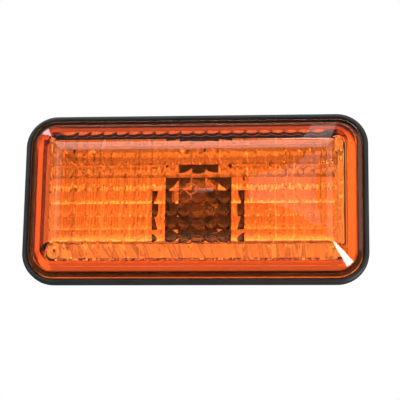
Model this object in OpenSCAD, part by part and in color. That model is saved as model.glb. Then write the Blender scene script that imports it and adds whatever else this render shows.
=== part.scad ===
// Side repeater lamp for a car's front wing: an amber lens with moulded optics, welded to a black
// housing that holds a silvered reflector, and a twist-in holder with a wedge bulb behind it.
// The lamp stands as it is fitted: X runs along the car, Z is up, and the lens looks along -Y.
// The origin is the centre of the face that lies on the wing panel.

/* [Outline] */
// Length of the lamp over its rubber seal
lamp_l = 75; // [72:1:95]
// Height of the lamp over its rubber seal
lamp_h = 37.5; // [37:0.5:46]
// Corner radius of the seal's outer edge
corner_r = 6.9; // [6.8:0.1:7.8]

/* [Seal] */
// Thickness of the rubber between the lens flange and the panel
seal_t = 1.6; // [1.2:0.1:2.4]
// Width of the rubber, from its outer edge to the housing
seal_w = 3.2; // [2.8:0.1:3.4]
// Width of the lip that shows round the lens
lip_w = 1.2; // [0.8:0.1:1.4]
// Height of the lip above the rubber's flat part
lip_h = 1.2; // [0.8:0.1:1.6]
// Width of the band that lies on the panel
seat_band_w = 1.6; // [1.2:0.1:1.8]
// Depth of the relief inside that band
seat_relief = 0.6; // [0.3:0.1:0.8]

/* [Lens] */
// Thickness of the flange round the lens
flange_t = 1.8; // [1.4:0.1:2.6]
// Width of the flange outside the bevelled wall
flange_w = 1.3; // [1:0.1:1.5]
// Height of the upright foot below the bevel
foot_h = 0.4; // [0.3:0.1:1.2]
// Width of the bevel and the shoulder, seen from the front
bevel_w = 7.6; // [7:0.1:8]
// Slope of the bevel
bevel_deg = 50; // [46:1:54]
// Radius where the bevel turns into the face
shoulder_r = 4; // [2.5:0.1:4.6]
// Rise of the crowned face
crown = 0.4; // [0.1:0.05:0.8]
// Thickness of the face, from its edge to the optics
lens_wall = 1.9; // [1.7:0.1:2.2]
// Thickness of the lens wall at its foot
foot_wall = 2.2; // [1.8:0.1:2.3]
// Side of one square optic
optic_pitch = 2.81; // [2.7:0.01:2.82]
// Height of the bulge on one optic
optic_rise = 0.5; // [0.1:0.02:0.6]

/* [Housing] */
// Gap between the housing and the seal round it
seal_gap = 0.15; // [0.05:0.05:0.3]
// Thickness of the housing's side wall
side_wall = 1.5; // [1.2:0.1:1.6]
// Depth from the panel face to the inside of the rear wall
housing_depth = 11; // [10.8:0.1:14]
// Thickness of the rear wall
rear_wall = 2; // [1.8:0.1:3]
// Height of the step round the rear wall
rear_step_h = 2.5; // [2.3:0.1:3.2]
// Width of that step
rear_step_w = 1.45; // [1.2:0.05:1.6]
// Thickness of the panel that the lamp clips into
panel_t = 1; // [0.7:0.1:1.6]
// Reach of the locating tongue and the spring past the housing
grip_reach = 1.5; // [1:0.1:1.7]
// Width of the locating tongue
tongue_w = 12; // [6:1:16]

/* [Reflector] */
// Gap between the holder's lugs and the reflector's floor
floor_gap = 0.4; // [0.2:0.1:1]
// Thickness of the reflector
reflector_t = 1; // [0.8:0.1:1.2]
// Diameter of the opening for the bulb
aperture_d = 17.8; // [17.7:0.1:19]
// Gap between the reflector's rim and the housing
reflector_gap = 0.25; // [0.1:0.05:0.4]
// Lean of the reflector's walls from rim to floor
reflector_lean = 0.5; // [0.2:0.1:0.8]
// Diameter of the corner posts
post_d = 3.2; // [2.4:0.1:3.6]

/* [Spring clip] */
// Thickness of the spring steel
clip_t = 0.5; // [0.4:0.05:0.7]
// Width of the spring
clip_w = 9; // [6:0.5:14]

/* [Bulb holder] */
// Diameter of the holder's nose
nose_d = 17.6; // [17.4:0.1:18.2]
// Clearance between the nose and the housing
nose_gap = 0.15; // [0.1:0.05:0.3]
// Reach of the locking lugs past the nose
lug_reach = 1.6; // [1.2:0.1:1.8]
// Angle that a lug covers
lug_deg = 24; // [16:1:30]
// Turn from locked to free
twist_deg = 60; // [48:1:70]
// Clearance behind the lugs
lug_gap = 0.2; // [0.1:0.05:0.4]
// Thickness of the lugs
lug_t = 1.4; // [1:0.1:1.6]
// Thickness of the holder's flange
holder_flange_t = 2; // [1.5:0.1:3]
// Thickness of the holder's rubber ring
ring_t = 2; // [1.5:0.1:2.6]
// Width of that ring, outside the nose
ring_w = 2.6; // [2.2:0.1:2.8]
// Length of the plug socket behind the grip
socket_l = 9; // [7:0.5:12]
// Inside width of the plug socket
socket_w = 12.6; // [12.2:0.1:13.2]
// Inside height of the plug socket
socket_h = 6.6; // [5.8:0.1:7]
// Wall of the plug socket
socket_wall = 1.2; // [1:0.1:1.4]

/* [Bulb] */
// Gap between the bulb's tip and the optics
bulb_gap = 1.9; // [1.4:0.1:2.4]
// Diameter of the glass
bulb_d = 10; // [9.8:0.1:10.2]
// Length of the bulb
bulb_l = 26.8; // [26:0.1:27.2]
// Length of the wedge base
wedge_l = 9; // [8.6:0.1:9.4]
// Width of the wedge base
wedge_w = 9.4; // [9:0.1:9.5]
// Thickness of the wedge base
wedge_t = 2.1; // [1.9:0.1:2.3]
// Distance from the bulb's tip to the filament
filament_drop = 5.1; // [4.6:0.1:6]
// Wall of the glass
glass_t = 0.6; // [0.5:0.1:0.9]
// Diameter of the lead wires
lead_d = 0.5; // [0.4:0.05:0.6]
// Distance between the lead wires
lead_gap = 4.6; // [4.4:0.1:5]

/* [Contacts] */
// Thickness of the contact strip
strip_t = 0.4; // [0.3:0.05:0.5]
// Width of the contact strip
strip_w = 2.8; // [2.4:0.1:3]
// Distance between the two plug blades
blade_pitch = 7.4; // [7.2:0.1:7.8]
// Length of a blade inside the plug socket
blade_l = 6.4; // [5:0.1:6.8]

/* [Hidden] */
$fn = 64;
fit_gap = 0.05;
past = 1;

// Heights in front of the panel face
flange_back = seal_t;
flange_front = flange_back + flange_t;
foot_top = flange_front + foot_h;
face_z = foot_top + shoulder_r * (1 - cos(bevel_deg))
       + (bevel_w - shoulder_r * sin(bevel_deg)) * tan(bevel_deg);
optic_z = face_z - lens_wall;
least_wall = 0.5;
foot_lean = 1.2;
inner_foot_z = foot_top + (foot_wall - foot_lean) * tan(bevel_deg);

// Insets from the seal's outer edge
flange_inset = lip_w + 0.1;
foot_inset = flange_inset + flange_w;
face_inset = foot_inset + bevel_w;
lens_inner_inset = foot_inset + foot_wall;
housing_inset = seal_w + seal_gap;
cavity_inset = housing_inset + side_wall;
rear_inset = housing_inset + rear_step_w;
rear_cavity_inset = rear_inset + side_wall;

// The optics: rows and columns of square cushions that run out under the shoulder as far as its
// wall allows. A plain margin of the same flat part stands beside the first and the last column.
least_optic_inset = foot_inset + (optic_z + least_wall - foot_top) / tan(bevel_deg);
optic_rows = 2 * floor((lamp_h / 2 - least_optic_inset) / optic_pitch);
optic_h = optic_rows * optic_pitch / 2;
optic_inset = lamp_h / 2 - optic_h;
flat_w = lamp_l / 2 - optic_inset;
least_margin = 0.1;
optic_cols = 2 * floor((flat_w - least_margin) / optic_pitch);
optic_w = optic_cols * optic_pitch / 2;
optic_steps = 3;
corner_steps = 4;
least_corner_r = 0.8;
flange_edge = 0.25;
nx = optic_cols * optic_steps;
ny = optic_rows * optic_steps;

// The bulb's tip stands just behind the optics, and its holder follows from that
pocket_web = 2.3;
bulb_tip = optic_z - optic_rise - bulb_gap;
bulb_base = bulb_tip - bulb_l;
bulb_shoulder = bulb_base + wedge_l;
filament_z = bulb_tip - filament_drop;
pocket_floor = bulb_base - fit_gap - lead_d - strip_t;

// Heights along the housing, the reflector and the bulb holder
rear_inside = -housing_depth;
rear_outside = rear_inside - rear_wall;
lug_back = rear_inside + lug_gap;
floor_back = lug_back + lug_t + floor_gap;
nose_front = floor_back - fit_gap;
ring_front = rear_outside - fit_gap;
flange_z = ring_front - ring_t;
grip_z = flange_z - holder_flange_t;
socket_z = pocket_floor - pocket_web;
socket_end = socket_z - socket_l;
grip_l = grip_z - socket_z;

// Radii round the bulb holder
nose_r = nose_d / 2;
bore_r = nose_r + nose_gap;
lug_r = nose_r + lug_reach;
ring_r = nose_r + ring_w;
collar_gap = 0.5;
collar_r = ring_r + collar_gap;
collar_wall = 1.6;
collar_l = 3;
lug_count = 3;
notch_margin_deg = 4;
stop_deg = 5;

// The reflector's corners turn about centres a little further in than the lamp's
reflector_centre = corner_r + 1.3;
reflector_rim = cavity_inset + reflector_gap;
reflector_foot = reflector_rim + reflector_lean;
rim_gap = 0.3;
reflector_top = flange_back - rim_gap;
post_inset = reflector_rim + 1.9;

// The bulb stands in the holder's pocket, on the feet of the contacts
pocket_gap = 0.6;
bulb_r = bulb_d / 2;
pocket_r = bulb_r + pocket_gap;
lead_clearance = 0.02;
lead_x = lead_gap / 2;
lead_fold_y = wedge_t / 2 + lead_d / 2;
contact_x = blade_pitch / 2;
contact_y = wedge_t / 2 + lead_d + strip_t / 2;
contact_h = 6.5;
finger_reach = 0.3;
finger_l = 1.2;

// The tongue and the spring stand just behind the panel, and the spring's foot sits in a slot in
// the rear wall
panel_gap = 0.2;
grip_z_front = -(panel_t + panel_gap);
clip_x = lamp_l / 2 - housing_inset;
clip_foot_z = rear_outside + rear_wall / 2;
clip_foot_l = 3;

// Turns the lamp from lying on its back to standing as it is fitted
module upright() {
    rotate([90, 0, 0]) children();
}

// Rounded rectangle, a stated inset inside the seal's outer edge
module outline(inset, centre = corner_r) {
    r = centre - inset;
    half_l = lamp_l / 2 - inset;
    half_h = lamp_h / 2 - inset;
    square([2 * half_l, 2 * (half_h - r)], center = true);
    square([2 * (half_l - r), 2 * half_h], center = true);
    for (sx = [-1, 1], sy = [-1, 1])
        translate([sx * (half_l - r), sy * (half_h - r)]) circle(r);
}

// Plate between two heights
module slab(inset, z0, z1, centre = corner_r) {
    translate([0, 0, z0]) linear_extrude(z1 - z0) outline(inset, centre);
}

// Wall between two insets and two heights
module band(outer_inset, inner_inset, z0, z1) {
    translate([0, 0, z0]) linear_extrude(z1 - z0) difference() {
        outline(outer_inset);
        outline(inner_inset);
    }
}

// Carries a profile round a rounded rectangle. The profile's x is the distance outwards from the
// corners' centres, which lie a stated inset inside the seal's outer edge.
module round_sweep(centre) {
    cx = lamp_l / 2 - centre;
    cy = lamp_h / 2 - centre;
    for (k = [0:3]) {
        sx = (k == 0 || k == 3) ? 1 : -1;
        sy = (k < 2) ? 1 : -1;
        translate([sx * cx, sy * cy, 0]) rotate(90 * k) rotate_extrude(angle = 90) children();
    }
    for (turn = [0, 180]) {
        rotate(turn) translate([cx, -cy, 0]) rotate([90, 0, 180]) linear_extrude(2 * cy)
            mirror([1, 0]) children();
        rotate(turn + 90) translate([cy, -cx, 0]) rotate([90, 0, 180]) linear_extrude(2 * cx)
            mirror([1, 0]) children();
    }
}

// Part of a ring, between two angles and two heights
module ring_sector(r0, r1, from, to, z0, z1) {
    rotate(from) rotate_extrude(angle = to - from) translate([r0, z0]) square([r1 - r0, z1 - z0]);
}

// Sheet strip folded along a line of points, seen from its edge
module folded(points, t) {
    for (k = [0:len(points) - 2]) {
        p = points[k];
        q = points[k + 1];
        side = (t / 2) * [q.y - p.y, p.x - q.x] / norm(q - p);
        polygon([p + side, q + side, q - side, p - side]);
    }
    for (p = points) translate(p) circle(d = t, $fn = 24);
}

// Stands an edge view up, with its sheet's width along X or along Y
module across_x(w) {
    rotate([90, 0, 90]) linear_extrude(w, center = true) children();
}

module across_y(w) {
    rotate([90, 0, 0]) linear_extrude(w, center = true) children();
}

// Height of a flute at step k of its width: 0 at its edges, 1 in its middle
function bulge(k) = let (f = (k % optic_steps) / optic_steps) 1 - pow(2 * f - 1, 2);

function corner_arc(cx, cy, r, from, z) =
    [for (t = [0:corner_steps]) let (q = from - 90 * t / corner_steps)
        [cx + r * cos(q), cy + r * sin(q), z]];

// One loop of the lens surface, clockwise from the top left. flute lowers the middle of each flute
// on the long sides.
function lens_loop(inset, z, flute = 0) =
    let (a = lamp_l / 2 - inset, b = lamp_h / 2 - inset,
         r = max(corner_r - inset, least_corner_r),
         w = min(optic_w, 0.97 * (a - r)), h = min(optic_h, 0.97 * (b - r)))
    concat(
        [for (k = [0:nx]) [w * (2 * k / nx - 1), b, z - flute * bulge(k)]],
        corner_arc(a - r, b - r, r, 90, z),
        [for (k = [0:ny]) [a, h * (1 - 2 * k / ny), z]],
        corner_arc(a - r, r - b, r, 0, z),
        [for (k = [0:nx]) [w * (1 - 2 * k / nx), -b, z - flute * bulge(k)]],
        corner_arc(r - a, r - b, r, -90, z),
        [for (k = [0:ny]) [-a, h * (2 * k / ny - 1), z]],
        corner_arc(r - a, b - r, r, 180, z));

// The crowned face: the face's edge drawn in towards its centre
function crown_loop(edge, share) =
    [for (p = edge) [p.x * share, p.y * share, face_z + crown * (1 - share * share)]];

// The outer skin's loops, from the flange's back edge to the crown
function outer_loops() =
    let (edge = lens_loop(face_inset, face_z))
    concat(
        [lens_loop(flange_inset, flange_back),
         lens_loop(flange_inset, flange_front - flange_edge),
         lens_loop(flange_inset + flange_edge, flange_front),
         lens_loop(foot_inset, flange_front),
         lens_loop(foot_inset, foot_top)],
        [for (share = [3, 2, 1]) let (q = bevel_deg * share / 3)
            lens_loop(face_inset - shoulder_r * sin(q), face_z - shoulder_r * (1 - cos(q)))],
        [edge, crown_loop(edge, 0.7), crown_loop(edge, 0.4)]);

// The inner skin's loops, from the edge of the optics to the flange's back edge. The sloping wall
// carries one flute along each side, and on the long sides the columns' flutes run down over it.
function inner_loops() =
    concat(
        [for (k = [1:optic_steps]) let (v = k / optic_steps)
            lens_loop(optic_inset + (lens_inner_inset - optic_inset) * v,
                      optic_z + (inner_foot_z - optic_z) * v - optic_rise * bulge(k) / 2,
                      optic_rise / 2)],
        [lens_loop(lens_inner_inset, (inner_foot_z + flange_back) / 2),
         lens_loop(lens_inner_inset, flange_back)]);

// Columns of points in the grid of optics: one for each step, and the plain margins' edges
grid_cols = nx + 3;

function grid_x(i) =
    i == 0 ? -flat_w : i == grid_cols - 1 ? flat_w : optic_w * (2 * (i - 1) / nx - 1);

function column_bulge(i) = i == 0 || i == grid_cols - 1 ? 0 : bulge(i - 1);

// The cushions: every point of the grid hangs below the face by its column's and row's bulge
function optic_points() =
    [for (j = [0:ny], i = [0:grid_cols - 1])
        [grid_x(i), optic_h * (1 - 2 * j / ny),
         optic_z - optic_rise * (column_bulge(i) + bulge(j)) / 2]];

function at(i, j) = j * grid_cols + i;

// The grid's edge, point by point as a lens loop runs; a corner is met once for each arc step
function optic_edge() =
    let (last = grid_cols - 1)
    concat(
        [for (k = [0:nx]) at(k + 1, 0)], [for (t = [0:corner_steps]) at(last, 0)],
        [for (k = [0:ny]) at(last, k)], [for (t = [0:corner_steps]) at(last, ny)],
        [for (k = [0:nx]) at(nx - k + 1, ny)], [for (t = [0:corner_steps]) at(0, ny)],
        [for (k = [0:ny]) at(0, ny - k)], [for (t = [0:corner_steps]) at(0, 0)]);

// Triangles between two loops of point numbers, without those that have no width
function stitch(lower, upper) =
    [for (k = [0:len(lower) - 1])
        let (m = (k + 1) % len(lower),
             both = [[lower[k], upper[m], upper[k]], [lower[k], lower[m], upper[m]]])
        for (f = both) if (f[0] != f[1] && f[1] != f[2] && f[2] != f[0]) f];

function numbers(first, count) = [for (k = [0:count - 1]) first + k];

module lens() {
    outer = outer_loops();
    inner = inner_loops();
    n = len(outer[0]);
    outer_count = len(outer) * n;
    inner_start = grid_cols * (ny + 1);
    outer_start = inner_start + len(inner) * n;
    inner_ids = [for (k = [0:len(inner) - 1]) numbers(inner_start + k * n, n)];
    outer_ids = [for (k = [0:len(outer) - 1]) numbers(outer_start + k * n, n)];
    crown_top = outer_start + outer_count;
    skin = concat([optic_edge()], inner_ids, outer_ids, [[for (k = [1:n]) crown_top]]);
    optic_faces = [for (j = [0:ny - 1], i = [0:grid_cols - 2])
        for (f = [[at(i, j), at(i, j + 1), at(i + 1, j + 1)],
                  [at(i, j), at(i + 1, j + 1), at(i + 1, j)]]) f];
    color([1, 0.45, 0.1, 0.6]) upright() polyhedron(
        points = concat(optic_points(), [for (loop = inner) for (p = loop) p],
                        [for (loop = outer) for (p = loop) p], [[0, 0, face_z + crown]]),
        faces = concat(optic_faces,
                       [for (k = [0:len(skin) - 2]) for (f = stitch(skin[k], skin[k + 1])) f]));
}

// The seal: a flat band between lens and panel, with a lip that stands round the lens
module gasket() {
    color([0.13, 0.13, 0.13]) upright() {
        difference() {
            slab(0, 0, seal_t + lip_h - lip_w / 2);
            slab(seal_w, -past, seal_t + past);
            slab(seat_band_w, -past, seat_relief);
            slab(lip_w, seal_t, seal_t + lip_h + past);
        }
        round_sweep(corner_r) translate([corner_r - lip_w / 2, seal_t + lip_h - lip_w / 2])
            intersection() {
                circle(d = lip_w, $fn = 32);
                translate([-lip_w, 0]) square([2 * lip_w, lip_w]);
            }
    }
}

// The same sector of a ring at every lug's place
module lug_ring(r0, r1, from, to, z0, z1) {
    for (k = [0:lug_count - 1])
        ring_sector(r0, r1, from + 360 * k / lug_count, to + 360 * k / lug_count, z0, z1);
}

// The housing: a stepped tub with a bayonet bore in its rear wall, a collar round the holder's
// rubber ring, and a tongue that hooks behind the panel
module housing() {
    color([0.09, 0.09, 0.1]) upright() difference() {
        union() {
            slab(housing_inset, rear_outside + rear_step_h, flange_back);
            slab(rear_inset, rear_outside, rear_outside + rear_step_h);
            translate([0, 0, rear_outside - collar_l])
                cylinder(r = collar_r + collar_wall, h = collar_l + past);
            collar_ribs();
            tongue();
        }
        slab(cavity_inset, floor_back, flange_back + past);
        slab(rear_cavity_inset, rear_inside, floor_back + past);
        translate([0, 0, rear_outside - past]) cylinder(r = bore_r, h = rear_wall + 2 * past);
        lug_notches();
        translate([0, 0, rear_outside - collar_l - past]) cylinder(r = collar_r, h = collar_l + past);
        clip_slot();
    }
    color([0.09, 0.09, 0.1]) upright() lug_stops();
}

// Notches in the bore's edge that let the lugs through when the holder is turned to free
module lug_notches() {
    half = lug_deg / 2 + notch_margin_deg;
    lug_ring(bore_r - past, lug_r + nose_gap, -twist_deg - half, -twist_deg + half,
             rear_outside - past, rear_inside + past);
}

// Ribs that stiffen the collar, sunk a little into it and into the rear wall
module collar_ribs() {
    rib_l = 9;
    rib_t = 1.4;
    rib_y = collar_r / 2;
    sunk = 0.5;
    root = collar_r + collar_wall / 2;
    inner = root - 2 * collar_wall;
    for (turn = [0, 180], y = [-rib_y, rib_y])
        rotate(turn) translate([0, y, 0]) across_y(rib_t)
            polygon([[inner, rear_outside + sunk], [root + rib_l, rear_outside + sunk],
                     [root + rib_l, rear_outside], [root, rear_outside - collar_l],
                     [inner, rear_outside - collar_l]]);
}

// Stops beside the lugs' locked places, standing on the rear wall just outside the bore
module lug_stops() {
    from = lug_deg / 2 + 1;
    step_in = 0.3;
    sunk = 0.5;
    lug_ring(bore_r + step_in, lug_r + 2 * step_in, from, from + stop_deg,
             rear_inside - sunk, rear_inside + lug_t);
}

// The rigid tongue at the lamp's left end, with a sloped back
module tongue() {
    slope_l = 3.4;
    edge = 0.9;
    sunk = 0.5;
    translate([-clip_x, 0, 0]) across_y(tongue_w)
        polygon([[sunk, grip_z_front], [-grip_reach, grip_z_front],
                 [-grip_reach, grip_z_front - edge], [0, grip_z_front - slope_l],
                 [sunk, grip_z_front - slope_l]]);
}

// The slot in the rear wall that the spring's foot pushes into
module clip_slot() {
    slot_h = clip_t + 2 * fit_gap;
    translate([clip_x - rear_step_w - clip_foot_l, -clip_w / 2 - fit_gap, clip_foot_z - slot_h / 2])
        cube([clip_foot_l + past, clip_w + 2 * fit_gap, slot_h]);
}

// The spring: its foot pushes into the rear wall, and its leaf bows out to grip the panel's edge
module spring_clip() {
    stand_off = 0.35;
    bend = 0.4;
    crest_l = 0.7;
    lead_in = 0.6;
    foot_end = clip_x - rear_step_w - clip_foot_l + clip_t / 2 + fit_gap;
    elbow = clip_x + stand_off + clip_t / 2;
    crest = clip_x + grip_reach - clip_t / 2;
    color([0.72, 0.73, 0.75]) upright() across_y(clip_w)
        folded([[foot_end, clip_foot_z], [elbow - bend, clip_foot_z], [elbow, clip_foot_z + bend],
                [crest, grip_z_front - lead_in - crest_l], [crest, grip_z_front - lead_in],
                [clip_x + bend, grip_z_front + lead_in]], clip_t);
}

// The reflector: a tray with leaning walls, an opening for the bulb and a post in each corner
module reflector() {
    rim_x = reflector_centre - reflector_rim;
    foot_x = reflector_centre - reflector_foot;
    color([0.85, 0.86, 0.88]) upright() difference() {
        union() {
            round_sweep(reflector_centre)
                polygon([[foot_x - reflector_t, floor_back], [foot_x, floor_back],
                         [rim_x, reflector_top], [rim_x - reflector_t, reflector_top]]);
            slab(reflector_foot + reflector_t / 2, floor_back, floor_back + reflector_t,
                 reflector_centre);
            for (sx = [-1, 1], sy = [-1, 1])
                translate([sx * (lamp_l / 2 - post_inset), sy * (lamp_h / 2 - post_inset), floor_back])
                    cylinder(d = post_d, h = flange_front - floor_back);
        }
        translate([0, 0, floor_back - past]) cylinder(d = aperture_d, h = reflector_t + 2 * past);
    }
}

// The holder: a nose with locking lugs, a flange, a grip with wings and a socket for the plug
module bulb_holder() {
    slot_w = max(wedge_w, blade_pitch + strip_w) + 2 * fit_gap;
    slot_t = 2 * (contact_y + strip_t / 2 + finger_reach);
    lip = 1;
    color([0.16, 0.16, 0.17]) upright() difference() {
        union() {
            translate([0, 0, flange_z]) cylinder(r = nose_r, h = nose_front - flange_z);
            lug_ring(nose_r - past, lug_r, -lug_deg / 2, lug_deg / 2, lug_back, lug_back + lug_t);
            translate([0, 0, grip_z]) cylinder(r = ring_r, h = holder_flange_t);
            holder_grip();
            plug_socket();
        }
        translate([0, 0, bulb_shoulder - lip])
            cylinder(r = pocket_r, h = nose_front - bulb_shoulder + lip + past);
        translate([-slot_w / 2, -slot_t / 2, pocket_floor])
            cube([slot_w, slot_t, bulb_shoulder - pocket_floor]);
        translate([-socket_w / 2, -socket_h / 2, socket_end - past])
            cube([socket_w, socket_h, socket_l + past]);
        for (sx = [-1, 1])
            translate([sx * contact_x - strip_w / 2 - fit_gap, -strip_t / 2 - fit_gap, socket_z - past])
                cube([strip_w + 2 * fit_gap, strip_t + 2 * fit_gap, pocket_web + 2 * past]);
    }
}

// The grip: a round barrel with two wings, each ending in a thicker round edge
module holder_grip() {
    grip_r = pocket_r + 2.2;
    wing_t = 3;
    wing_edge_d = 3.8;
    wing_start = 1.5;
    wing_w = 2 * ring_r - 1;
    wing_l = grip_l - wing_start + holder_flange_t / 4;
    translate([0, 0, socket_z]) cylinder(r = grip_r, h = grip_l + past / 2);
    translate([-wing_w / 2, -wing_t / 2, socket_z + wing_start]) cube([wing_w, wing_t, wing_l]);
    for (sx = [-1, 1])
        translate([sx * (wing_w - wing_t) / 2, 0, socket_z + wing_start])
            cylinder(d = wing_edge_d, h = wing_l);
}

// The socket for the loom's plug, with a ramp outside that the plug's latch snaps over
module plug_socket() {
    outer_w = socket_w + 2 * socket_wall;
    outer_h = socket_h + 2 * socket_wall;
    latch_w = 4;
    latch_h = 0.9;
    latch_l = 3.4;
    latch_ramp = 2.6;
    latch_start = 1.5;
    sunk = 0.2;
    translate([-outer_w / 2, -outer_h / 2, socket_end]) cube([outer_w, outer_h, socket_l + past / 2]);
    translate([0, outer_h / 2, socket_end + latch_start]) across_x(latch_w)
        polygon([[-sunk, 0], [latch_h, latch_ramp], [latch_h, latch_l], [-sunk, latch_l]]);
}

module holder_seal() {
    color([0.2, 0.2, 0.2]) upright() translate([0, 0, flange_z]) difference() {
        cylinder(r = ring_r, h = ring_t);
        translate([0, 0, -past]) cylinder(r = nose_r + fit_gap, h = ring_t + 2 * past);
    }
}

// A contact: a spring finger beside the wedge, a foot on the pocket's floor and a plug blade
module contact(side) {
    foot_z = pocket_floor + strip_t / 2;
    upright() translate([side * contact_x, 0, 0]) across_x(strip_w)
        folded([[0, socket_z - blade_l], [0, foot_z], [side * contact_y, foot_z],
                [side * contact_y, foot_z + contact_h - finger_l],
                [side * (contact_y + finger_reach), foot_z + contact_h]], strip_t);
}

module contact_live() {
    color([0.8, 0.62, 0.3]) contact(-1);
}

module contact_earth() {
    color([0.8, 0.62, 0.3]) contact(1);
}

// Half of the bulb's section, a wall's thickness inside the glass: a domed tip, a straight barrel
// and a rounded shoulder
module bulb_profile(wall) {
    r = bulb_r - wall;
    shoulder = 2.4;
    low = bulb_shoulder + wall * 2;
    top = bulb_tip - bulb_r;
    overlap = 0.01;
    translate([0, top]) intersection() {
        circle(r);
        square(bulb_r);
    }
    translate([0, low + shoulder]) square([r, top - low - shoulder]);
    translate([0, low]) square([r - shoulder, shoulder + overlap]);
    translate([r - shoulder, low + shoulder]) intersection() {
        circle(shoulder);
        translate([0, -shoulder]) square([shoulder, shoulder + overlap]);
    }
}

module bulb_glass() {
    color([0.9, 0.95, 0.97, 0.4]) upright() difference() {
        union() {
            rotate_extrude() bulb_profile(0);
            translate([-wedge_w / 2, -wedge_t / 2, bulb_base]) cube([wedge_w, wedge_t, wedge_l + past]);
        }
        rotate_extrude() bulb_profile(glass_t);
        for (sx = [-1, 1])
            translate([sx * lead_x, 0, bulb_base - past])
                cylinder(d = lead_d + lead_clearance, h = wedge_l + 2 * glass_t + 2 * past, $fn = 24);
    }
}

module bulb_filament() {
    color([0.45, 0.45, 0.48]) upright() translate([0, 0, filament_z]) rotate([0, 90, 0])
        cylinder(d = lead_d, h = lead_gap - lead_d, center = true, $fn = 24);
}

// A lead: up through the wedge to the filament, and folded back along the wedge's face
module bulb_lead(side) {
    fold_l = 5;
    foot = bulb_base - lead_d / 2;
    upright() translate([side * lead_x, 0, 0]) {
        translate([0, 0, foot]) cylinder(d = lead_d, h = filament_z + lead_d - foot, $fn = 24);
        translate([0, side * lead_fold_y, foot]) cylinder(d = lead_d, h = fold_l, $fn = 24);
        translate([0, 0, foot]) rotate([-90 * side, 0, 0])
            cylinder(d = lead_d, h = lead_fold_y, $fn = 24);
        for (y = [0, side * lead_fold_y]) translate([0, y, foot]) sphere(d = lead_d, $fn = 24);
    }
}

module bulb_lead_live() {
    color([0.75, 0.76, 0.78]) bulb_lead(-1);
}

module bulb_lead_earth() {
    color([0.75, 0.76, 0.78]) bulb_lead(1);
}

lens();
housing();
reflector();
gasket();
spring_clip();
bulb_holder();
holder_seal();
contact_live();
contact_earth();
bulb_glass();
bulb_filament();
bulb_lead_live();
bulb_lead_earth();
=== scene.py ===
"""Looks of a rectangular amber side repeater lamp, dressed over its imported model.

The lens is made again in finer steps, with square cushions inside, and the rubber seal with a
rounded lip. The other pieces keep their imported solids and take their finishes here.
"""

import math

import bmesh
import bpy
import numpy as np
from mathutils import Matrix, Vector


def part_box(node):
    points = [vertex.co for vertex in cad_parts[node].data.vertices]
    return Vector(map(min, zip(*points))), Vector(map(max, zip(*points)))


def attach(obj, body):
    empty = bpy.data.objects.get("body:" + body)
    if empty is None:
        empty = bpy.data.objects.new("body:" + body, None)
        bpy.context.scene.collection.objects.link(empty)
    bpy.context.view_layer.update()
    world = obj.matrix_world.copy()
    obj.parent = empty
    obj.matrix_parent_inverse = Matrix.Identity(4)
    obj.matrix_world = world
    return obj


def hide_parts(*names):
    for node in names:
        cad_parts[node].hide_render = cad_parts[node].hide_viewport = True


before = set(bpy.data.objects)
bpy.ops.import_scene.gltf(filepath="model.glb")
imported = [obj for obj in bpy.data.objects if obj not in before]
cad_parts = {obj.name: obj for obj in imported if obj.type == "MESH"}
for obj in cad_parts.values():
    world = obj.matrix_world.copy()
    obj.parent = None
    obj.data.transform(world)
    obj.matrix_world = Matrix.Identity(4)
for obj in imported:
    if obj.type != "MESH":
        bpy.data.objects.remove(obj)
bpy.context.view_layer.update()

MM = 0.001
WHITE = (1, 1, 1, 1)

# The lamp's outline, in millimetres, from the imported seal
_, SEAL_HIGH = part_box("gasket")
HALF_L = SEAL_HIGH.x / MM
HALF_H = SEAL_HIGH.z / MM
CORNER_R = 6.9

# The seal's section
SEAL_T = 1.6
SEAL_W = 3.2
LIP_W = 1.2
LIP_TOP = 2.8
SEAT_BAND_W = 1.6
SEAT_RELIEF = 0.6

# The lens's section: insets from the seal's outer edge, and heights in front of the panel
FLANGE_INSET = 1.3
FOOT_INSET = 2.6
BEVEL_W = 7.6
FACE_INSET = FOOT_INSET + BEVEL_W
FLANGE_BACK = 1.62
FLANGE_FRONT = 3.4
FOOT_TOP = 3.8
BEVEL = math.radians(50)
SHOULDER_R = 4.0
FACE_Z = (FOOT_TOP + SHOULDER_R * (1 - math.cos(BEVEL))
          + (BEVEL_W - SHOULDER_R * math.sin(BEVEL)) * math.tan(BEVEL))
CROWN = 0.4
LENS_WALL = 1.9
FOOT_WALL = 2.2
OPTIC_Z = FACE_Z - LENS_WALL
INNER_FOOT_Z = 5.0
LEAST_CORNER_R = 0.8

# The optics: square cushions on the inside of the face, and one row of them on each long side's
# bevel
PITCH = 2.81
COLUMNS = 20
ROWS = 8
COLUMN_RISE = 0.5
ROW_RISE = 0.44
COLUMN_END = COLUMNS * PITCH / 2
OPTIC_INSET = HALF_H - ROWS * PITCH / 2

# Steps of the meshes. The edge steps are those of the small rounded edges.
CUSHION_STEPS = 10
BEVEL_STEPS = 8
CORNER_STEPS = 12
SHOULDER_STEPS = 10
FACE_STEPS = 11
EDGE_STEPS = 4
SEAL_CORNER_STEPS = 24
SEAL_LIP_STEPS = 16
SEAL_EDGE_STEPS = 5

# How much of a straight side its columns may fill, and how much all its mesh lines may
COLUMNS_SHARE = 0.97
SIDE_SHARE = 0.985

# Points nearer than this, in metres, are one point
SAME_POINT = 2e-7


def stand_up(points):
    """The lamp's own coordinates (along, up, forwards) in millimetres, turned to the frame's in
    metres: forwards is -Y."""
    points = np.asarray(points, float)
    return np.stack([points[..., 0], -points[..., 2], points[..., 1]], -1) * MM


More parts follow.
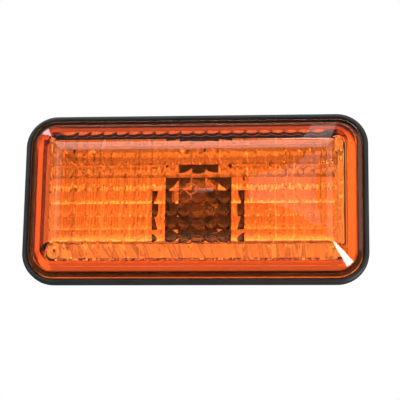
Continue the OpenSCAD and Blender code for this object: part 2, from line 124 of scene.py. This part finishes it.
def grid_quads(rows, columns, closed=False):
    """Quads between the points of a grid stored row by row; a closed grid joins its last column
    to its first."""
    number = np.arange(rows * columns).reshape(rows, columns)
    if closed:
        number = np.concatenate([number, number[:, :1]], 1)
    corners = [number[:-1, :-1], number[:-1, 1:], number[1:, 1:], number[1:, :-1]]
    return np.stack(corners, -1).reshape(-1, 4)


def piece(name, patches, body, material, sharp_deg=30.0):
    """One object from patches of (points, quads), joined where they meet, with its faces
    outwards. Edges sharper than sharp_deg stay sharp. It rides with a body."""
    points, quads, first = [], [], 0
    for patch_points, patch_quads in patches:
        points.append(patch_points.reshape(-1, 3))
        quads.append(patch_quads + first)
        first += len(points[-1])
    mesh = bpy.data.meshes.new(name)
    mesh.from_pydata(stand_up(np.concatenate(points)), [], np.concatenate(quads).tolist())
    shape = bmesh.new()
    shape.from_mesh(mesh)
    bmesh.ops.remove_doubles(shape, verts=shape.verts, dist=SAME_POINT)
    bmesh.ops.dissolve_degenerate(shape, edges=shape.edges, dist=SAME_POINT / 20)
    bmesh.ops.recalc_face_normals(shape, faces=shape.faces)
    shape.to_mesh(mesh)
    shape.free()
    mesh.polygons.foreach_set("use_smooth", np.ones(len(mesh.polygons), bool))
    mesh.set_sharp_from_angle(angle=math.radians(sharp_deg))
    mesh.materials.append(material)
    obj = bpy.data.objects.new(name, mesh)
    bpy.context.scene.collection.objects.link(obj)
    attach(obj, body)
    return obj


# Outline loops

def bulge(position):
    """Height of a flute across its width: a parabola that is 0 at every whole pitch and 1 half-way
    between, and no flute beyond the last column."""
    share = np.mod(position / PITCH, 1.0)
    return np.where(np.abs(position) < COLUMN_END, 1 - (2 * share - 1) ** 2, 0.0)


def optic_lines(count):
    """Where the mesh lines of one direction lie: every cushion cut into equal steps."""
    return (np.arange(count * CUSHION_STEPS + 1) / CUSHION_STEPS - count / 2) * PITCH


class Outline:
    """Rounded-rectangle loops, clockwise from the top left, whose straight sides carry the same
    mesh lines at every inset. column_flute and row_flute are the flutes' heights at a loop's
    points, on its long and on its short sides. fluted_side is 1 beside a column and 0 elsewhere."""

    def __init__(self, xs, ys, corner_steps=CORNER_STEPS):
        self.xs, self.ys = xs, ys
        self.turn = np.radians(90.0 * np.arange(corner_steps + 1) / corner_steps)
        corner = np.zeros(corner_steps + 1)
        fluted = (np.abs(xs) <= COLUMN_END).astype(float)
        self.column_flute = np.concatenate([bulge(xs), corner, 0 * ys, corner] * 2)
        self.row_flute = np.concatenate([0 * xs, corner, bulge(ys), corner] * 2)
        self.fluted_side = np.concatenate([fluted, corner, 0 * ys, corner] * 2)
        self.count = len(self.column_flute)

    def corner(self, cx, cy, r, start):
        """A quarter circle, clockwise from an angle in degrees."""
        angle = math.radians(start) - self.turn
        return np.stack([cx + r * np.cos(angle), cy + r * np.sin(angle)], -1)

    def around(self, xs, ys, right, top, r):
        """The loop with these mesh lines, half sizes and corner radius."""
        cx, cy = right - r, top - r
        return np.concatenate([
            np.stack([xs, np.full_like(xs, top)], -1), self.corner(cx, cy, r, 90),
            np.stack([np.full_like(ys, right), -ys], -1), self.corner(cx, -cy, r, 0),
            np.stack([-xs, np.full_like(xs, -top)], -1), self.corner(-cx, -cy, r, -90),
            np.stack([np.full_like(ys, -right), ys], -1), self.corner(-cx, cy, r, 180)])

    def at_height(self, inset, z):
        """The loop at an inset and a height. Its mesh lines draw together where the side is
        shorter than they are, and its first and last ones keep to the side's ends."""
        r = max(CORNER_R - inset, LEAST_CORNER_R)
        right, top = HALF_L - inset, HALF_H - inset
        xs = self.xs * min(1.0, COLUMNS_SHARE * (right - r) / self.xs[-2])
        xs[[0, -1]] = -SIDE_SHARE * (right - r), SIDE_SHARE * (right - r)
        ys = self.ys * min(1.0, SIDE_SHARE * (top - r) / self.ys[-1])
        flat = self.around(xs, ys, right, top, r)
        return np.concatenate([flat, np.full((len(flat), 1), z)], 1)

    def edge_of_grid(self, z):
        """The loop along the edge of the cushions, where its corners have no width."""
        flat = self.around(self.xs, self.ys, self.xs[-1], self.ys[-1], 0)
        drop = (COLUMN_RISE * self.column_flute + ROW_RISE * self.row_flute) / 2
        return np.concatenate([flat, (z - drop)[:, None]], 1)


def arc(inset, z, r, start, end, steps):
    """Points of a section along an arc about (inset, z), angles in degrees from the inset axis."""
    angle = np.radians(np.linspace(start, end, steps + 1))
    return np.stack([inset + r * np.cos(angle), z + r * np.sin(angle)], -1)


# Lens

def crown_height(x, y):
    """The face's crown: highest at the centre and falling as a parabola each way to its edges."""
    a, b = HALF_L - FACE_INSET, HALF_H - FACE_INSET
    return CROWN * np.clip(1 - (x / a) ** 2, 0, 1) * np.clip(1 - (y / b) ** 2, 0, 1)


def lens_outer_rows(outline):
    """The outer skin as loops: the flange with its rounded edge, the foot, the bevel, the arc of
    the shoulder, then the face drawn in to its centre with the crown added."""
    edge_r = 0.25
    fillet_r = 0.35
    break_down, break_in = 0.15, 0.1
    slope_deg = math.degrees(BEVEL)
    section = np.concatenate([
        [[FLANGE_INSET, FLANGE_BACK]],
        arc(FLANGE_INSET + edge_r, FLANGE_FRONT - edge_r, edge_r, 180, 90, EDGE_STEPS),
        arc(FOOT_INSET - fillet_r, FLANGE_FRONT + fillet_r, fillet_r, -90, 0, EDGE_STEPS),
        [[FOOT_INSET, FOOT_TOP - break_down]],
        [[FOOT_INSET + break_in, FOOT_TOP + break_in * math.tan(BEVEL)]],
        arc(FACE_INSET, FACE_Z - SHOULDER_R, SHOULDER_R, 90 + slope_deg, 90, SHOULDER_STEPS)])
    rows = [outline.at_height(inset, z) for inset, z in section]
    edge = rows[-1]
    for share in np.linspace(1, 0, FACE_STEPS + 1)[1:]:
        row = edge * [share, share, 1]
        row[:, 2] = FACE_Z + crown_height(row[:, 0], row[:, 1])
        rows.append(row)
    return rows


def lens_inner_rows(outline):
    """The inner skin as loops, from the flange's back up the wall and along the bevel to the edge
    of the cushions. On the long sides the bevel hangs into the cavity by half the rise for its
    column and half for its row. On the short sides it is plain."""
    wall_inset = FOOT_INSET + FOOT_WALL
    above_back, below_foot = 0.8, 0.5
    wall_heights = (FLANGE_BACK, FLANGE_BACK + above_back, INNER_FOOT_Z - below_foot)
    rows = [outline.at_height(wall_inset, z) for z in wall_heights]
    for share in np.arange(BEVEL_STEPS) / BEVEL_STEPS:
        row = outline.at_height(wall_inset + (OPTIC_INSET - wall_inset) * share,
                                INNER_FOOT_Z + (OPTIC_Z - INNER_FOOT_Z) * share)
        row_flute = bulge(share * PITCH) * outline.fluted_side
        row[:, 2] -= (COLUMN_RISE * outline.column_flute + ROW_RISE * row_flute) / 2
        rows.append(row)
    rows.append(outline.edge_of_grid(OPTIC_Z))
    return rows


def cushion_grid(xs, ys):
    """The cushions: each point hangs below the face by half the rise for its column and half for
    its row."""
    x, y = np.meshgrid(xs, ys)
    return np.stack([x, y, OPTIC_Z - (COLUMN_RISE * bulge(x) + ROW_RISE * bulge(y)) / 2], -1)


def make_lens(material):
    """The lens: its outer skin, its inner skin, the rim between them and the cushions, as one
    closed piece. A plain margin stands beside the first and the last column."""
    margin = HALF_L - OPTIC_INSET
    xs = np.concatenate([[-margin], optic_lines(COLUMNS), [margin]])
    ys = optic_lines(ROWS)
    outline = Outline(xs, ys)
    outer = np.stack(lens_outer_rows(outline))
    inner = np.stack(lens_inner_rows(outline))
    rim = np.stack([outer[0], inner[0]])
    patches = [(rows, grid_quads(len(rows), outline.count, closed=True))
               for rows in (outer, inner, rim)]
    patches.append((cushion_grid(xs, ys), grid_quads(len(ys), len(xs))))
    lens = piece("lens_amber", patches, "lamp", material, sharp_deg=11)
    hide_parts("lens")


def make_centre_mark(material):
    """The moulded mark at the optical centre: a ring and four ticks, each a low rounded ridge. The
    ridge's section is two half ellipses, one above the face and one sunk in it, and is carried
    along a circle or a straight line that tapers at both ends."""
    ring_r, half_w, rise, sunk = 1.15, 0.11, 0.09, 0.05
    tick_start = 1.25
    tick_ends = (2.9, 2.5, 4.4, 2.5)
    section_sides, ring_sides = 12, 72
    across = np.radians(np.arange(section_sides) * 360 / section_sides)
    side = half_w * np.cos(across)
    lift = np.where(np.sin(across) > 0, rise, sunk) * np.sin(across)
    top = FACE_Z + CROWN
    turn = np.radians(np.arange(ring_sides) * 360 / ring_sides)
    radius = (ring_r + side)[None, :]
    ring = np.stack([radius * np.cos(turn)[:, None], radius * np.sin(turn)[:, None],
                     np.tile(top + lift, (ring_sides, 1))], -1)
    ring = np.concatenate([ring, ring[:1]])
    patches = [(ring, grid_quads(len(ring), section_sides, closed=True))]
    for quarter, tick_end in enumerate(tick_ends):
        angle = quarter * math.pi / 2
        direction = np.array([math.cos(angle), math.sin(angle)])
        normal = np.array([-direction[1], direction[0]])
        along = np.array([tick_start, tick_start, tick_end, tick_end])
        taper = np.array([0.0, 1.0, 1.0, 0.0])
        flat = along[:, None, None] * direction + (taper[:, None] * side)[..., None] * normal
        height = top + taper[:, None] * lift
        patches.append((np.concatenate([flat, height[..., None]], -1),
                        grid_quads(len(along), section_sides, closed=True)))
    piece("lens_centre_mark", patches, "lamp", material)


# Seal

def make_gasket(material):
    """The seal: one closed section carried round the outline. The lip's top is half a circle, and
    its outer side runs straight down to a rounded edge on the panel. Inside the band that lies on
    the panel the seal is relieved, and its small edges are bevelled."""
    half = LIP_W / 2
    lip_z = LIP_TOP - half
    edge_r = 0.3
    bevel = 0.1
    relief_slope = 0.3
    side_gap = 0.5
    long_lines, short_lines = 9, 5
    section = np.concatenate([
        arc(half, lip_z, half, 180, 0, SEAL_LIP_STEPS),
        [[LIP_W, SEAL_T + bevel], [LIP_W + bevel, SEAL_T], [SEAL_W, SEAL_T], [SEAL_W, SEAT_RELIEF],
         [SEAT_BAND_W + relief_slope, SEAT_RELIEF], [SEAT_BAND_W, bevel], [SEAT_BAND_W - bevel, 0]],
        arc(edge_r, edge_r, edge_r, 270, 180, SEAL_EDGE_STEPS)])
    corner = CORNER_R + side_gap
    outline = Outline(np.linspace(-1, 1, long_lines) * (HALF_L - corner),
                      np.linspace(-1, 1, short_lines) * (HALF_H - corner), SEAL_CORNER_STEPS)
    rows = np.stack([outline.at_height(inset, z) for inset, z in section])
    rows = np.concatenate([rows, rows[:1]])
    seal = piece("seal_rubber", [(rows, grid_quads(len(rows), outline.count, closed=True))],
                 "lamp", material, sharp_deg=40)
    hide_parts("gasket")


# Material and world nodes

# The Mix node's sockets for each kind of value: first, second and result
MIX_SOCKETS = {"FLOAT": (2, 3, 0), "RGBA": (6, 7, 2)}


def add_node(tree, kind, **values):
    """A new node, with each value on the input of that name, or else on the setting."""
    node = tree.nodes.new(kind)
    for name, value in values.items():
        if name in node.inputs:
            node.inputs[name].default_value = value
        else:
            setattr(node, name, value)
    return node


def feed(tree, value, socket):
    """Give an input another node's output, or a plain value."""
    if isinstance(value, bpy.types.NodeSocket):
        tree.links.new(value, socket)
    else:
        socket.default_value = value


def mix(tree, share, first, second, kind="FLOAT"):
    """What goes from first to second with the share; each may be an output or a plain value."""
    node = add_node(tree, "ShaderNodeMix", data_type=kind)
    a, b, result = MIX_SOCKETS[kind]
    feed(tree, share, node.inputs[0])
    feed(tree, first, node.inputs[a])
    feed(tree, second, node.inputs[b])
    return node.outputs[result]


def arithmetic(tree, operation, *operands):
    """The result of an operation on outputs or plain values."""
    node = add_node(tree, "ShaderNodeMath", operation=operation)
    for value, socket in zip(operands, node.inputs):
        feed(tree, value, socket)
    return node.outputs[0]


def grey(value):
    """A grey as a node's colour."""
    return (value, value, value, 1)


# Materials

def new_material(name, colour, roughness, metallic=0.0):
    """A material and its shader, with the values that are the same all over the surface."""
    material = bpy.data.materials.new(name)
    material.use_nodes = True
    shader = material.node_tree.nodes["Principled BSDF"]
    shader.inputs["Base Color"].default_value = (*colour, 1)
    shader.inputs["Roughness"].default_value = roughness
    shader.inputs["Metallic"].default_value = metallic
    return material, shader


def object_place(tree):
    """The place on the piece, in metres, whose origin and axes are the lamp's."""
    return add_node(tree, "ShaderNodeTexCoord").outputs["Object"]


def noise(tree, scale, detail):
    """A noise texture over the piece."""
    texture = add_node(tree, "ShaderNodeTexNoise", Scale=scale, Detail=detail)
    feed(tree, object_place(tree), texture.inputs["Vector"])
    return texture.outputs["Fac"]


def grain(tree, shader, scale, strength, depth=0.1 * MM, detail=3.0):
    """A fine moulded or ground surface: noise as bump. Returns the bump."""
    bump = add_node(tree, "ShaderNodeBump", Strength=strength, Distance=depth)
    feed(tree, noise(tree, scale, detail), bump.inputs["Height"])
    feed(tree, bump.outputs["Normal"], shader.inputs["Normal"])
    return bump


def mottle(tree, shader, scale, dark, light):
    """A slow change between two colours over the surface."""
    ramp = add_node(tree, "ShaderNodeValToRGB")
    for stop, position, colour in zip(ramp.color_ramp.elements, (0.35, 0.65), (dark, light)):
        stop.position = position
        stop.color = (*colour, 1)
    feed(tree, noise(tree, scale, detail=4.0), ramp.inputs["Fac"])
    feed(tree, ramp.outputs["Color"], shader.inputs["Base Color"])


def amber_plastic():
    """Clear amber acrylic: its colour deepens towards red with the length of the light's path. A
    channel loses light along it at the density, per metre, times 1 less the colour there."""
    material, shader = new_material("amber_plastic", (1.0, 0.53, 0.21), roughness=0.02)
    tree = material.node_tree
    shader.inputs["Transmission Weight"].default_value = 1.0
    shader.inputs["IOR"].default_value = 1.49
    grain(tree, shader, scale=90.0, strength=0.03, depth=0.2 * MM, detail=1.0)
    body = add_node(tree, "ShaderNodeVolumeAbsorption", Color=(0.975, 0.42, 0.02, 1), Density=250.0)
    feed(tree, body.outputs["Volume"], tree.nodes["Material Output"].inputs["Volume"])
    return material


def silvered_plastic():
    """The reflector's bright coat, over fine ribs and grain."""
    material, shader = new_material("silvered_plastic", (0.88, 0.88, 0.88), roughness=0.07,
                                    metallic=1.0)
    tree = material.node_tree
    fine = grain(tree, shader, scale=450.0, strength=0.2, depth=0.3 * MM)
    wave = add_node(tree, "ShaderNodeTexWave", Scale=170.0, Distortion=1.5)
    ribs = add_node(tree, "ShaderNodeBump", Strength=0.8, Distance=0.3 * MM)
    feed(tree, object_place(tree), wave.inputs["Vector"])
    feed(tree, wave.outputs["Fac"], ribs.inputs["Height"])
    feed(tree, ribs.outputs["Normal"], fine.inputs["Normal"])
    mottle(tree, shader, scale=60.0, dark=(0.75, 0.75, 0.75), light=(0.83, 0.83, 0.82))
    return material


def seal_rubber():
    """Matt rubber, a little lighter in patches."""
    material, shader = new_material("seal_rubber", (0.02, 0.021, 0.021), roughness=0.55)
    tree = material.node_tree
    shader.inputs["Specular IOR Level"].default_value = 0.3
    grain(tree, shader, scale=2400.0, strength=0.2)
    mottle(tree, shader, scale=150.0, dark=(0.011, 0.012, 0.012), light=(0.017, 0.018, 0.018))
    return material


def moulded_black(name, colour, grain_scale):
    """Black plastic or rubber with a moulded grain, a third lighter in patches."""
    material, shader = new_material(name, colour, roughness=0.5)
    tree = material.node_tree
    grain(tree, shader, grain_scale, strength=0.25)
    mottle(tree, shader, scale=90.0, dark=colour, light=tuple(1.35 * c for c in colour))
    return material


def housing_plastic():
    """Black moulded plastic whose front rim, under the lens wall, carries the reflector's coat."""
    black, coat_tone = (0.016, 0.016, 0.018), 0.94
    black_roughness, coat_roughness = 0.5, 0.18
    coat_front = -1.2 * MM
    material, shader = new_material("housing_black", black, black_roughness)
    tree = material.node_tree
    grain(tree, shader, scale=1500.0, strength=0.25)
    split = add_node(tree, "ShaderNodeSeparateXYZ")
    feed(tree, object_place(tree), split.inputs[0])
    coated = arithmetic(tree, "LESS_THAN", split.outputs["Y"], coat_front)
    colour = mix(tree, coated, (*black, 1), grey(coat_tone), "RGBA")
    roughness = arithmetic(tree, "MULTIPLY_ADD", coated, coat_roughness - black_roughness,
                           black_roughness)
    feed(tree, colour, shader.inputs["Base Color"])
    feed(tree, coated, shader.inputs["Metallic"])
    feed(tree, roughness, shader.inputs["Roughness"])
    return material


def spring_steel():
    """Bright rolled strip."""
    material, shader = new_material("spring_steel", (0.5, 0.5, 0.49), roughness=0.32,
                                    metallic=1.0)
    tree = material.node_tree
    grain(tree, shader, scale=900.0, strength=0.12)
    mottle(tree, shader, scale=140.0, dark=(0.42, 0.42, 0.41), light=(0.58, 0.58, 0.56))
    return material


def contact_brass():
    """Stamped brass strip, tarnished in patches."""
    material, shader = new_material("contact_brass", (0.75, 0.52, 0.24), roughness=0.3,
                                    metallic=1.0)
    tree = material.node_tree
    grain(tree, shader, scale=1200.0, strength=0.1)
    mottle(tree, shader, scale=200.0, dark=(0.62, 0.42, 0.19), light=(0.8, 0.58, 0.28))
    return material


def clear_glass():
    """The bulb's glass."""
    material, shader = new_material("clear_glass", (0.97, 0.99, 0.99), roughness=0.0)
    shader.inputs["Transmission Weight"].default_value = 1.0
    shader.inputs["IOR"].default_value = 1.5
    return material


def drawn_wire(name, colour):
    """Wire with the fine grain of drawing."""
    material, shader = new_material(name, colour, roughness=0.35, metallic=1.0)
    grain(material.node_tree, shader, scale=3000.0, strength=0.1, depth=0.05 * MM)
    return material


def dress(material, *nodes):
    """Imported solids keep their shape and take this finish."""
    for node in nodes:
        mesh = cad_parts[node].data
        mesh.materials.clear()
        mesh.materials.append(material)


# Stage, light and camera

FLOOR_Z = -0.4
FLOOR_SIZE = 6
FLOOR_TONE = 0.9
FLOOR_TONE_MIRRORED = 0.25
FLOOR_GLOW = 0.6

# The world's strength: for matt faces; for polished ones, to the sides and at the doorway behind
# the photographer; and for what glass lets through, all round and at the flash
WORLD_LIGHT = 0.5
SIDE_LIGHT = 0.15
FRONT_LIGHT = 0.05
THROUGH_LIGHT = 0.9
FLASH_LIGHT = 1.6
DOORWAY = (-0.09, -0.967, 0.2385)
DOORWAY_DEG = (20, 9)
FLASH = (-0.1, -0.975, 0.19)
FLASH_DEG = (26, 8)


def make_floor():
    """A pale floor below the camera. It glows a little to the camera and through glass, so that
    its far side stays pale, and is dim in polished faces."""
    bpy.ops.mesh.primitive_plane_add(size=FLOOR_SIZE, location=(0, 0, FLOOR_Z))
    floor = bpy.context.object
    floor.name = "floor"
    material, shader = new_material("pale_floor", (FLOOR_TONE,) * 3, roughness=0.8)
    tree = material.node_tree
    ray = add_node(tree, "ShaderNodeLightPath").outputs
    tone = mix(tree, ray["Is Glossy Ray"], grey(FLOOR_TONE), grey(FLOOR_TONE_MIRRORED), "RGBA")
    open_view = arithmetic(tree, "MAXIMUM", ray["Is Camera Ray"], ray["Is Transmission Ray"])
    glow = arithmetic(tree, "MULTIPLY", open_view, FLOOR_GLOW)
    feed(tree, tone, shader.inputs["Base Color"])
    feed(tree, glow, shader.inputs["Emission Strength"])
    shader.inputs["Emission Color"].default_value = WHITE
    floor.data.materials.append(material)


def cone(tree, direction, centre, degrees, outside, inside):
    """A strength that goes smoothly from outside to inside between two angles from a centre."""
    nearness = add_node(tree, "ShaderNodeVectorMath", operation="DOT_PRODUCT")
    feed(tree, direction, nearness.inputs[0])
    feed(tree, centre, nearness.inputs[1])
    first, last = (math.cos(math.radians(d)) for d in degrees)
    strength = add_node(tree, "ShaderNodeMapRange", **{
        "interpolation_type": "SMOOTHSTEP", "From Min": first, "From Max": last,
        "To Min": outside, "To Max": inside})
    feed(tree, nearness.outputs["Value"], strength.inputs["Value"])
    return strength.outputs[0]


def make_world():
    """A studio round the lamp: white wherever the camera looks past it, even for matt faces, dim
    for polished ones, and bright for what glass lets through."""
    world = bpy.data.worlds.new("white_studio")
    bpy.context.scene.world = world
    world.use_nodes = True
    tree = world.node_tree
    tree.nodes.clear()
    ray = add_node(tree, "ShaderNodeLightPath").outputs
    direction = add_node(tree, "ShaderNodeTexCoord").outputs["Generated"]
    mirrored = cone(tree, direction, DOORWAY, DOORWAY_DEG, SIDE_LIGHT, FRONT_LIGHT)
    let_through = cone(tree, direction, FLASH, FLASH_DEG, THROUGH_LIGHT, FLASH_LIGHT)
    strength = mix(tree, ray["Is Glossy Ray"], WORLD_LIGHT, mirrored)
    strength = mix(tree, ray["Is Transmission Ray"], strength, let_through)
    strength = mix(tree, ray["Is Camera Ray"], strength, 1.0)
    background = add_node(tree, "ShaderNodeBackground", Color=WHITE)
    output = add_node(tree, "ShaderNodeOutputWorld")
    feed(tree, strength, background.inputs["Strength"])
    feed(tree, background.outputs[0], output.inputs["Surface"])


def add_softbox(name, place, size, power):
    """A rectangular light that faces the lamp."""
    lamp = bpy.data.lights.new(name, "AREA")
    lamp.shape = "RECTANGLE"
    lamp.size, lamp.size_y = size
    lamp.energy = power
    obj = bpy.data.objects.new(name, lamp)
    bpy.context.scene.collection.objects.link(obj)
    obj.location = place
    obj.rotation_euler = (-Vector(place)).to_track_quat("-Z", "Y").to_euler()
    return obj


def make_camera():
    """The photograph's camera: a long lens, a little to the right of the lamp and below it. Its
    distance and the point it looks at are in millimetres."""
    yaw, pitch, roll = (math.radians(a) for a in (5.298, 13.774, -0.893))
    distance = 325.3
    aim = Vector((1.096, -2.0, -0.283))
    turn = (Matrix.Rotation(yaw, 3, "Z") @ Matrix.Rotation(pitch, 3, "X")
            @ Matrix.Rotation(roll, 3, "Y"))
    right, forward, up = turn.col[0], turn.col[1], turn.col[2]
    camera = bpy.data.cameras.new("camera")
    camera.lens = 135
    camera.sensor_width = 36
    camera.clip_start = 0.01
    obj = bpy.data.objects.new("camera", camera)
    bpy.context.scene.collection.objects.link(obj)
    axes = Matrix((right, up, -forward)).transposed()
    obj.matrix_world = Matrix.Translation((aim - forward * distance) * MM) @ axes.to_4x4()
    bpy.context.scene.camera = obj


def in_the_face(along, up, distance):
    """Where a light stands so that the flat face mirrors it to the camera at (along, up)."""
    eye = bpy.context.scene.camera.matrix_world.translation
    face = Vector((along, -(FACE_Z + CROWN / 2), up)) * MM
    ray = (face - eye).normalized()
    return face + Vector((ray.x, -ray.y, ray.z)) * distance


def add_highlight(*light):
    """A light that only glossy surfaces show, so that it adds nothing to the plain level."""
    add_softbox(*light).visible_diffuse = False


def make_lights():
    """A large softbox above, a weak one at each side, strips that the corners and the top wall
    mirror, and two window panes that the face mirrors faintly."""
    add_softbox("top_softbox", (0.0, -0.3, 0.42), (1.2, 0.55), 6.5)
    add_softbox("left_softbox", (-0.55, -0.4, 0.0), (0.5, 0.5), 0.8)
    add_softbox("right_softbox", (0.55, -0.4, 0.0), (0.5, 0.5), 0.8)
    add_highlight("low_right_strip", (0.262, -0.05, -0.212), (0.16, 0.16), 1.8)
    add_highlight("high_left_strip", (-0.2565, 0.178, 0.3236), (0.09, 0.09), 0.1)
    add_highlight("high_right_strip", (0.029, 0.154, 0.376), (0.026, 0.09), 0.005)
    add_highlight("high_strip", (0.03, 0.03, 0.4), (0.07, 0.05), 0.08)
    add_highlight("wide_pane", in_the_face(27.0, 0.5, 0.45), (0.05, 0.06), 0.01)
    add_highlight("small_pane", in_the_face(3.6, -1.9, 0.45), (0.0136, 0.0114), 0.0008)


make_camera()
make_floor()
make_world()
make_lights()

amber = amber_plastic()
make_lens(amber)
make_centre_mark(amber)
make_gasket(seal_rubber())

dress(housing_plastic(), "housing")
dress(silvered_plastic(), "reflector")
dress(spring_steel(), "spring_clip")
dress(moulded_black("holder_black", (0.028, 0.028, 0.03), 1200.0), "bulb_holder")
dress(moulded_black("ring_rubber", (0.02, 0.02, 0.02), 2400.0), "holder_seal")
dress(contact_brass(), "contact_live", "contact_earth")
dress(clear_glass(), "bulb_glass")
dress(drawn_wire("filament_wire", (0.3, 0.3, 0.31)), "bulb_filament")
dress(drawn_wire("lead_wire", (0.7, 0.7, 0.72)), "bulb_lead_live", "bulb_lead_earth")

view = bpy.context.scene.view_settings
view.view_transform = "Standard"
